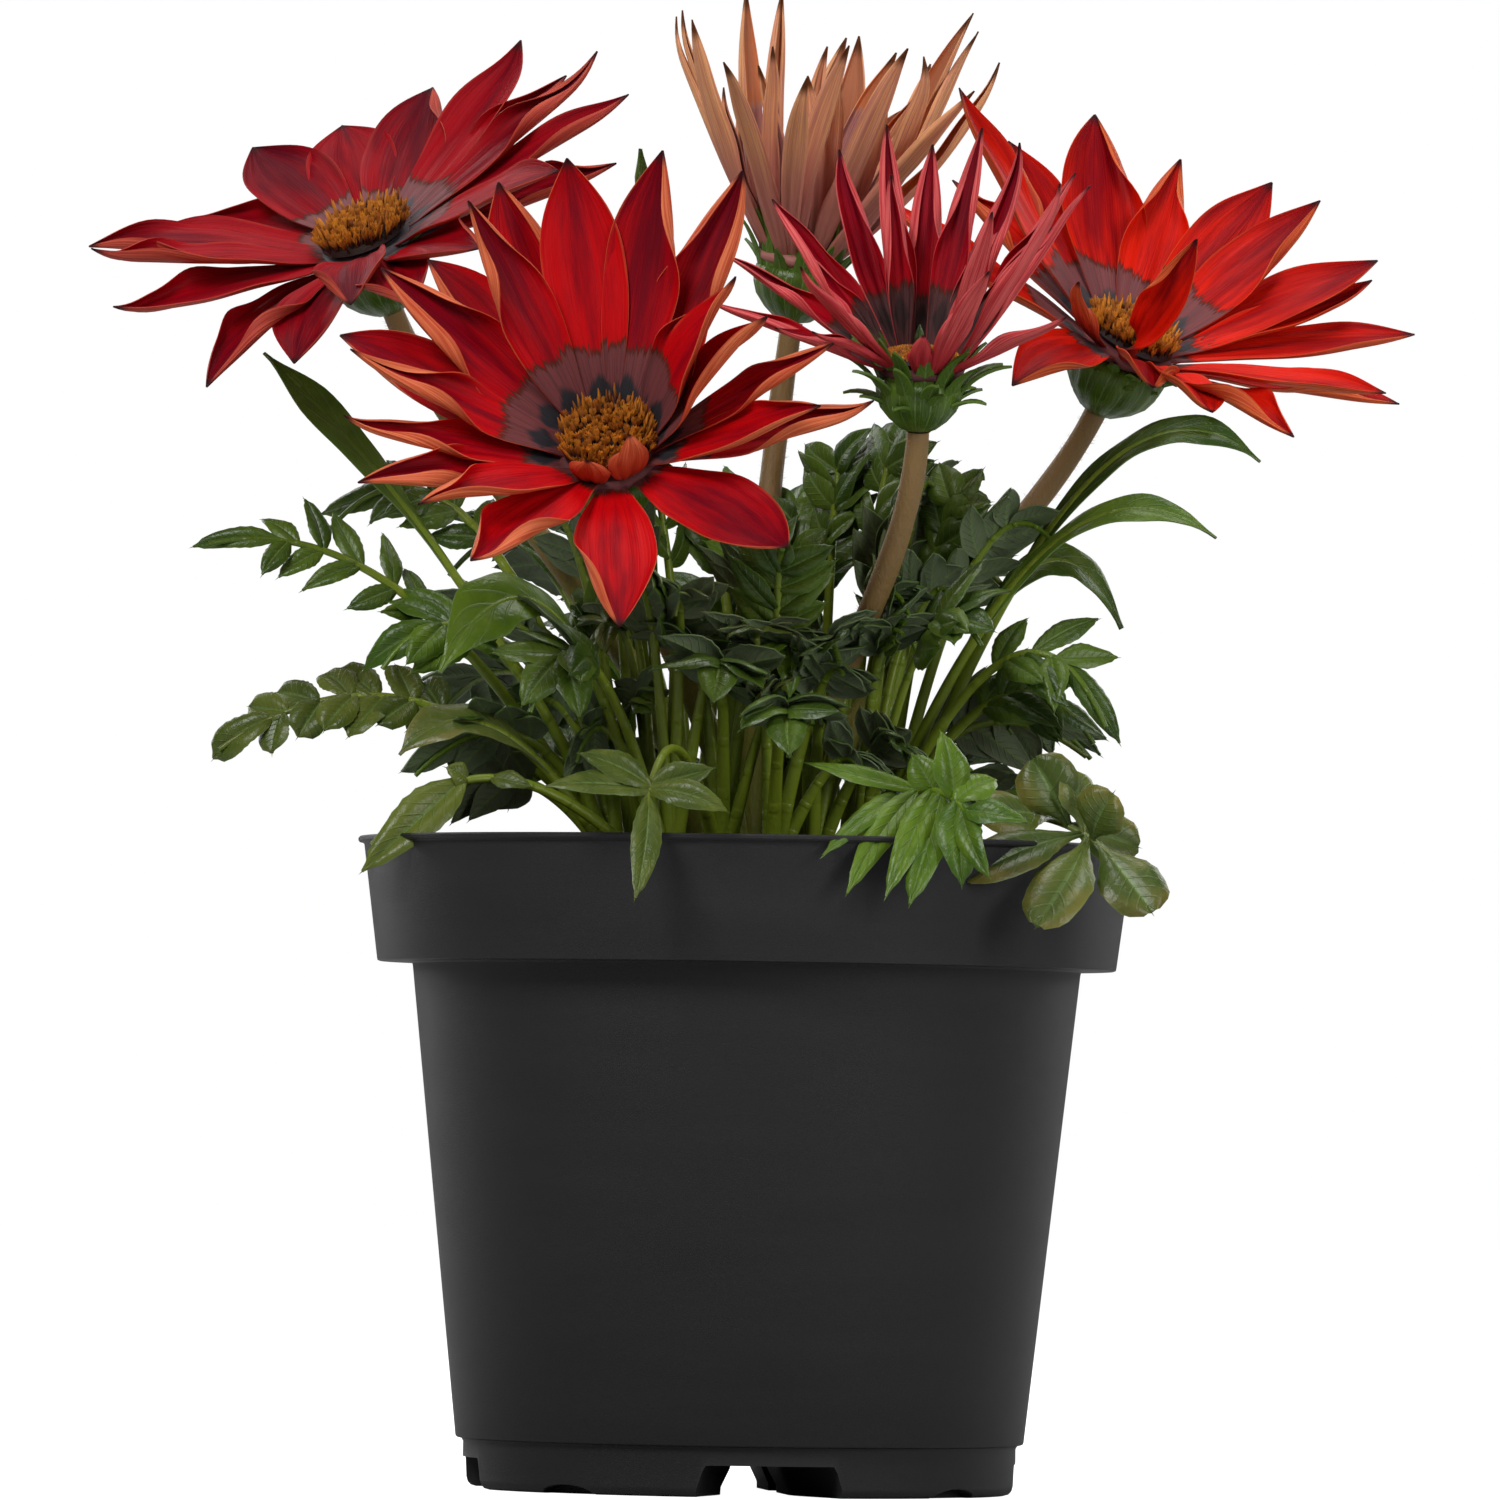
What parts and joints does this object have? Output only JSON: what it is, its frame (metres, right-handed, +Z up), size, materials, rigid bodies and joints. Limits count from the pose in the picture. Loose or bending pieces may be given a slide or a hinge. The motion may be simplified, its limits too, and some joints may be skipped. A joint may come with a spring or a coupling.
{
  "type": "potted gazania plant",
  "caption": "Flowering gazania with daisy-like red blooms over lobed leaves, growing in a round black nursery pot that stands on its foot.",
  "frame": {"origin": "bottom centre of the box round the whole plant and pot, on the surface it stands on", "axes": "+Z up, -Y towards the side the front bloom faces, +X to its right as seen from that side"},
  "size_m": [0.2222, 0.1574, 0.2529],
  "materials": {
    "pot_plastic": "moulded black plastic, fine satin grain",
    "potting_soil": "crumbly dark peat",
    "leaf": "glossy dark green above, felted grey-white beneath",
    "stem": "hairy, yellow-green below and brown-purple above",
    "calyx": "satin green",
    "disc_florets": "golden florets",
    "petal_red": "satin bright red with fine veins",
    "petal_crimson": "satin dark crimson with fine veins",
    "petal_scarlet": "satin orange-red with fine veins",
    "petal_rose": "satin rose red with a pink reverse",
    "petal_tan": "papery tan and mauve stripes"
  },
  "bodies": {
    "root": {"fading_bloom_calyx": "calyx", "fading_bloom_disc": "disc_florets", "fading_bloom_petals": "petal_tan", "fading_bloom_stem": "stem", "front_bloom_calyx": "calyx", "front_bloom_disc": "disc_florets", "front_bloom_petals": "petal_red", "front_bloom_stem": "stem", "half_open_bloom_calyx": "calyx", "half_open_bloom_disc": "disc_florets", "half_open_bloom_petals": "petal_rose", "half_open_bloom_stem": "stem", "leaf_tuft_01": "leaf", "leaf_tuft_02": "leaf", "leaf_tuft_03": "leaf", "leaf_tuft_04": "leaf", "leaf_tuft_05": "leaf", "leaf_tuft_06": "leaf", "leaf_tuft_07": "leaf", "leaf_tuft_08": "leaf", "leaf_tuft_09": "leaf", "leaf_tuft_10": "leaf", "leaf_tuft_11": "leaf", "leaf_tuft_12": "leaf", "leaf_tuft_13": "leaf", "leaf_tuft_14": "leaf", "leaf_tuft_15": "leaf", "left_bloom_calyx": "calyx", "left_bloom_disc": "disc_florets", "left_bloom_petals": "petal_crimson", "left_bloom_stem": "stem", "pot": "pot_plastic", "right_bloom_calyx": "calyx", "right_bloom_disc": "disc_florets", "right_bloom_petals": "petal_scarlet", "right_bloom_stem": "stem", "soil": "potting_soil"}
  },
  "joints": []
}
